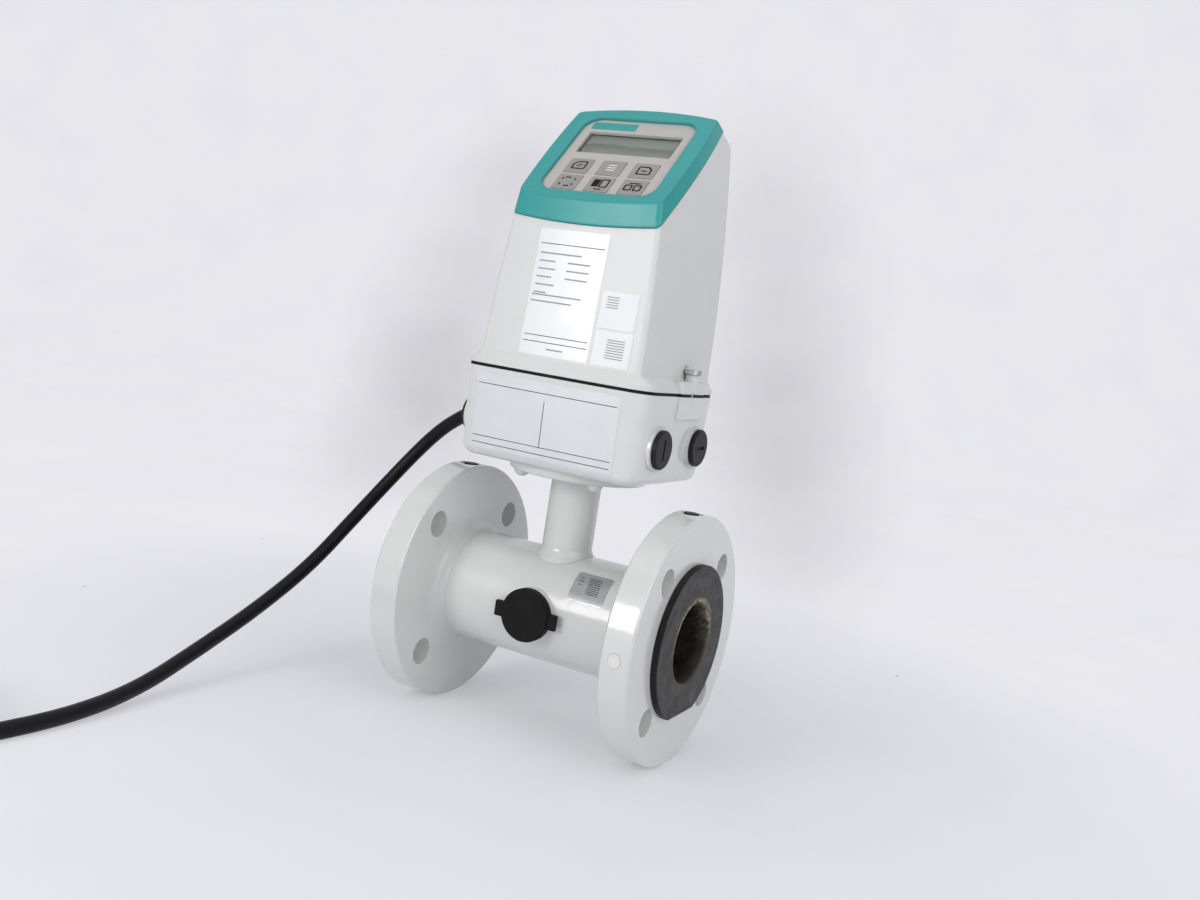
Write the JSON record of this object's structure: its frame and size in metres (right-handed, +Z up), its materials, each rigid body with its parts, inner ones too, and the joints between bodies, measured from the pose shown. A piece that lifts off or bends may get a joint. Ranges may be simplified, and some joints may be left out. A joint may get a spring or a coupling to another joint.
{
  "type": "electromagnetic flow meter",
  "caption": "Flanged electromagnetic flow meter for liquids in a pipe, with a compact transmitter with sloping display and keys on its neck.",
  "frame": {"origin": "point where the pipe axis meets the axis of the neck, in the middle of the flow bore", "axes": "+X along the pipe in flow direction, +Z up the neck to the transmitter, -Y towards the side the display faces"},
  "size_m": [0.4286, 0.474, 0.4204],
  "materials": {
    "flange_paint": "glossy off-white paint, worn and stained",
    "body_paint": "glossy off-white paint",
    "steel": "plain stainless steel",
    "liner_rubber": "hard rubber with brown deposit",
    "copper": "enamelled copper winding",
    "insulator": "white insulating plastic",
    "black_rubber": "black rubber",
    "black_plastic": "black plastic",
    "white_plastic": "white plastic",
    "head_plastic": "satin warm grey plastic",
    "teal": "satin blue-green plastic",
    "panel": "matt warm grey film",
    "key": "grey key cap",
    "display_glass": "clear window",
    "display": "unlit liquid crystal display",
    "circuit_board": "green circuit board",
    "terminal_plastic": "green terminal plastic",
    "iron": "laminated iron",
    "cable_sheath": "black cable sheath"
  },
  "bodies": {
    "sensor": {"flange_inlet": "flange_paint", "flange_outlet": "flange_paint", "outer_tube": "body_paint", "measuring_tube": "steel", "liner": "liner_rubber", "field_coil_upper": "copper", "field_coil_lower": "copper", "pole_core_upper": "iron", "pole_core_lower": "iron", "electrode_front": "steel", "electrode_back": "steel", "ground_electrodes": "steel", "electrode_insulators": "insulator", "electrode_nuts": "steel", "cap_seat_front": "white_plastic", "cap_seat_back": "white_plastic", "rim_plugs_top": "black_plastic", "rim_plug_side": "white_plastic", "neck_tube": "body_paint", "neck_plate": "body_paint", "neck_screws": "body_paint", "sensor_leads": "black_plastic", "terminal_box": "body_paint", "terminal_gasket": "black_rubber", "connection_board": "circuit_board", "terminals_supply": "terminal_plastic", "terminals_output": "terminal_plastic", "memory_unit": "black_plastic", "connector_socket": "black_plastic", "plug_seals": "black_rubber", "gland_body": "black_plastic", "gland_seal": "black_rubber", "cable_stub": "cable_sheath", "supply_cable": "cable_sheath", "cable_coil": "cable_sheath"},
    "transmitter": {"head_housing": "head_plastic", "head_base": "black_plastic", "bezel": "teal", "keypad_panel": "panel", "display_window": "display_glass", "display_module": "display", "key_board": "circuit_board", "main_board": "circuit_board", "power_module": "iron", "head_connector": "black_plastic"},
    "key_1": {"key_1": "key"},
    "key_2": {"key_2": "key"},
    "key_3": {"key_3": "key"},
    "key_4": {"key_4": "key"},
    "key_5": {"key_5": "key"},
    "key_6": {"key_6": "key"},
    "captive_screw_outlet": {"captive_screw_outlet": "steel"},
    "captive_screw_inlet": {"captive_screw_inlet": "steel"},
    "electrode_cap_front": {"electrode_cap_front": "black_rubber"},
    "electrode_cap_back": {"electrode_cap_back": "black_rubber"},
    "blind_plug_outlet_front": {"blind_plug_outlet_front": "black_plastic"},
    "blind_plug_outlet_back": {"blind_plug_outlet_back": "black_plastic"},
    "blind_plug_inlet_front": {"blind_plug_inlet_front": "black_plastic"},
    "gland_nut": {"gland_nut": "black_plastic"}
  },
  "joints": [
    {"name": "transmitter_lift", "type": "slide", "parent": "sensor", "child": "transmitter", "axis": [0, 0, 1], "range_m": [0, 0.06]},
    {"name": "key_1_press", "type": "slide", "parent": "transmitter", "child": "key_1", "axis": [0, 0.7071, -0.7071], "range_m": [0, 0.0005], "stiffness_N_per_m": 800},
    {"name": "key_2_press", "type": "slide", "parent": "transmitter", "child": "key_2", "axis": [0, 0.7071, -0.7071], "range_m": [0, 0.0005], "stiffness_N_per_m": 800},
    {"name": "key_3_press", "type": "slide", "parent": "transmitter", "child": "key_3", "axis": [0, 0.7071, -0.7071], "range_m": [0, 0.0005], "stiffness_N_per_m": 800},
    {"name": "key_4_press", "type": "slide", "parent": "transmitter", "child": "key_4", "axis": [0, 0.7071, -0.7071], "range_m": [0, 0.0005], "stiffness_N_per_m": 800},
    {"name": "key_5_press", "type": "slide", "parent": "transmitter", "child": "key_5", "axis": [0, 0.7071, -0.7071], "range_m": [0, 0.0005], "stiffness_N_per_m": 800},
    {"name": "key_6_press", "type": "slide", "parent": "transmitter", "child": "key_6", "axis": [0, 0.7071, -0.7071], "range_m": [0, 0.0005], "stiffness_N_per_m": 800},
    {"name": "captive_screw_outlet_turn", "type": "hinge", "parent": "transmitter", "child": "captive_screw_outlet", "pos_m": [0.0673, 0.008, 0.17], "axis": [0, 0, 1], "continuous": true},
    {"name": "captive_screw_inlet_turn", "type": "hinge", "parent": "transmitter", "child": "captive_screw_inlet", "pos_m": [-0.0673, 0.008, 0.17], "axis": [0, 0, 1], "continuous": true},
    {"name": "electrode_cap_front_turn", "type": "hinge", "parent": "sensor", "child": "electrode_cap_front", "pos_m": [0, -0.043, 0], "axis": [0, -1, 0], "range_deg": [0, 90]},
    {"name": "electrode_cap_back_turn", "type": "hinge", "parent": "sensor", "child": "electrode_cap_back", "pos_m": [0, 0.043, 0], "axis": [0, 1, 0], "range_deg": [0, 90]},
    {"name": "blind_plug_outlet_front_turn", "type": "hinge", "parent": "sensor", "child": "blind_plug_outlet_front", "pos_m": [0.07, -0.029, 0.1215], "axis": [1, 0, 0], "continuous": true},
    {"name": "blind_plug_outlet_back_turn", "type": "hinge", "parent": "sensor", "child": "blind_plug_outlet_back", "pos_m": [0.07, 0.029, 0.1215], "axis": [1, 0, 0], "continuous": true},
    {"name": "blind_plug_inlet_front_turn", "type": "hinge", "parent": "sensor", "child": "blind_plug_inlet_front", "pos_m": [-0.07, -0.029, 0.1215], "axis": [-1, 0, 0], "continuous": true},
    {"name": "gland_nut_turn", "type": "hinge", "parent": "sensor", "child": "gland_nut", "pos_m": [-0.08, 0.029, 0.1215], "axis": [-1, 0, 0], "continuous": true}
  ]
}
